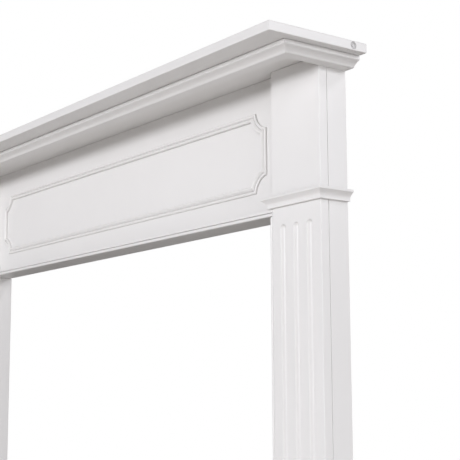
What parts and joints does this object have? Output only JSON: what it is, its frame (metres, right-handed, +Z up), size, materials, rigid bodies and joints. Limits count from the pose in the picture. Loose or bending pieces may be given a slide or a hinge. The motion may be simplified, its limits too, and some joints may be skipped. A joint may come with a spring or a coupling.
{
  "type": "fireplace mantel",
  "caption": "White painted fireplace mantel: deep shelf on a crown moulding, recessed frieze with a moulded panel, fluted pilasters with neck mouldings and plinths.",
  "frame": {"origin": "on the floor, midway along the mantel and midway through the depth of its shelf", "axes": "+Z up, +X to the right along the front, -Y out of the front face, +Y towards the wall"},
  "size_m": [1.632, 0.23, 1.3665],
  "materials": {
    "painted_board": "satin white paint on fibreboard",
    "plug": "matt white screw plug"
  },
  "bodies": {
    "root": {"crown_front": "painted_board", "crown_return_left": "painted_board", "crown_return_right": "painted_board", "frieze_board": "painted_board", "header_ledge": "painted_board", "neck_front_left": "painted_board", "neck_front_right": "painted_board", "neck_inner_left": "painted_board", "neck_inner_right": "painted_board", "neck_outer_left": "painted_board", "neck_outer_right": "painted_board", "opening_lining_left": "painted_board", "opening_lining_right": "painted_board", "panel_corner_bottom_left": "painted_board", "panel_corner_bottom_right": "painted_board", "panel_corner_top_left": "painted_board", "panel_corner_top_right": "painted_board", "panel_rail_bottom": "painted_board", "panel_rail_top": "painted_board", "panel_stile_left": "painted_board", "panel_stile_right": "painted_board", "pilaster_front_left": "painted_board", "pilaster_front_right": "painted_board", "pilaster_side_left": "painted_board", "pilaster_side_right": "painted_board", "plinth_front_left": "painted_board", "plinth_front_right": "painted_board", "plinth_return_left": "painted_board", "plinth_return_right": "painted_board", "shelf": "painted_board", "shelf_plug_left": "plug", "shelf_plug_right": "plug", "soffit_board": "painted_board"}
  },
  "joints": []
}
